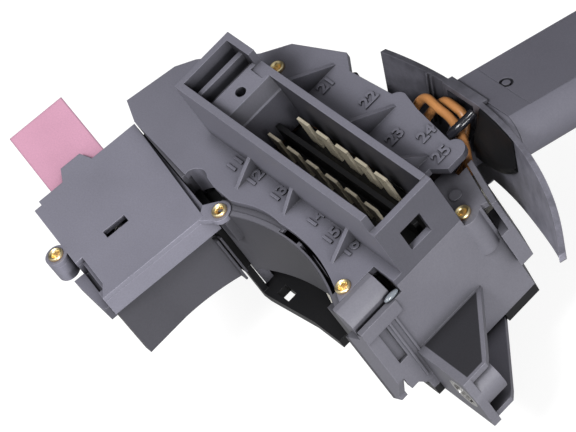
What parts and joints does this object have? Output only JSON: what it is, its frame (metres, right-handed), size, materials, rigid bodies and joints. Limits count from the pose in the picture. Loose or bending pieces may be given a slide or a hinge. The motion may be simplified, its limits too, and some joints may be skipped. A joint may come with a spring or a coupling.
{
  "type": "combination stalk switch",
  "caption": "Steering column switch with a tilted lever, plug socket, curved column panel and a sliding hazard tab.",
  "frame": {"origin": "axis of the steering column at the level of the housing underside", "axes": "+Z out of the plug socket, along the steering column; +Y towards the lever; -X towards the hazard tab"},
  "size_m": [0.1831, 0.2252, 0.0831],
  "materials": {
    "housing": "satin moulded plastic",
    "cover": "fine matt grain",
    "black_base": "smooth moulded",
    "blade": "tin plated",
    "rivet": "bright rolled",
    "bush": "zinc plated",
    "tab": "pale pink, matt",
    "spring_steel": "bright wire",
    "pin_steel": "ground",
    "board": "phenolic board",
    "yoke": "natural moulded",
    "stalk": "fine matt grain",
    "shield": "satin moulded plastic",
    "sleeve": "fine matt grain",
    "button": "satin",
    "lead": "wire insulation",
    "strap": "glossy sleeve"
  },
  "bodies": {
    "housing": {"main_housing": "housing", "terminal_cover": "cover", "shoulder_cap": "housing", "base_plate": "black_base", "terminal_block": "black_base", "blades_near_row": "blade", "blades_far_row": "blade", "tubular_rivets": "rivet", "lug_bush": "bush", "column_skirt": "housing", "hazard_base": "cover", "hazard_cover": "cover", "hazard_spring": "spring_steel", "side_block": "housing", "pivot_pin": "pin_steel", "pawl_pin": "pin_steel", "detent_cam": "housing", "contact_board": "board", "feed_strip": "blade", "lead_front": "lead", "lead_back": "lead", "lead_strap": "strap"},
    "yoke": {"lever_yoke": "yoke", "flash_pin": "pin_steel", "detent_plunger": "pin_steel"},
    "stalk": {"lever_root": "stalk", "lever_shield": "shield", "stalk_shell": "stalk", "stalk_lid": "stalk", "lever_hub": "black_base", "button_spring": "spring_steel"},
    "sleeve": {"rotary_sleeve": "sleeve"},
    "button": {"end_button": "button"},
    "hazard_slide": {"hazard_tab": "tab", "hazard_bridge": "blade"},
    "carriage": {"turn_carriage": "yoke"},
    "pawl": {"cancel_pawl": "yoke"}
  },
  "joints": [
    {"name": "turn_signal", "type": "hinge", "parent": "housing", "child": "yoke", "pos_m": [0.006, 0.062, 0.02], "axis": [0, 0, 1], "range_deg": [-8, 8], "deforming": ["lead_front", "lead_back"]},
    {"name": "headlamp_flash", "type": "hinge", "parent": "yoke", "child": "stalk", "pos_m": [0.007, 0.078, 0.024], "axis": [1, 0, 0], "range_deg": [-6.5, 0], "stiffness_Nm_per_rad": 1.6, "springref_deg": 14.32, "deforming": ["lead_front", "lead_back"]},
    {"name": "lamp_sleeve_turn", "type": "hinge", "parent": "stalk", "child": "sleeve", "pos_m": [0.0103, 0.0983, 0.0327], "axis": [0, 0.9373, -0.3486], "range_deg": [0, 60]},
    {"name": "end_button_press", "type": "slide", "parent": "stalk", "child": "button", "axis": [0, -0.9373, 0.3486], "range_m": [0, 0.003], "stiffness_N_per_m": 700, "springref_m": -0.002, "deforming": ["button_spring"]},
    {"name": "hazard_press", "type": "slide", "parent": "housing", "child": "hazard_slide", "axis": [0.9877, -0.1564, 0], "range_m": [0, 0.005], "stiffness_N_per_m": 500, "springref_m": -0.003, "deforming": ["hazard_spring"]},
    {"name": "contact_slide", "type": "slide", "parent": "housing", "child": "carriage", "axis": [0, 1, 0], "range_m": [-0.0025, 0.0025]},
    {"name": "cancel_pawl_turn", "type": "hinge", "parent": "housing", "child": "pawl", "pos_m": [-0.018, 0.045, 0.008], "axis": [0, 0, 1], "range_deg": [-6, 6], "stiffness_Nm_per_rad": 0.02}
  ],
  "couplings": [
    {"joint": "contact_slide", "follows": "turn_signal", "m_per_rad": -0.014}
  ]
}
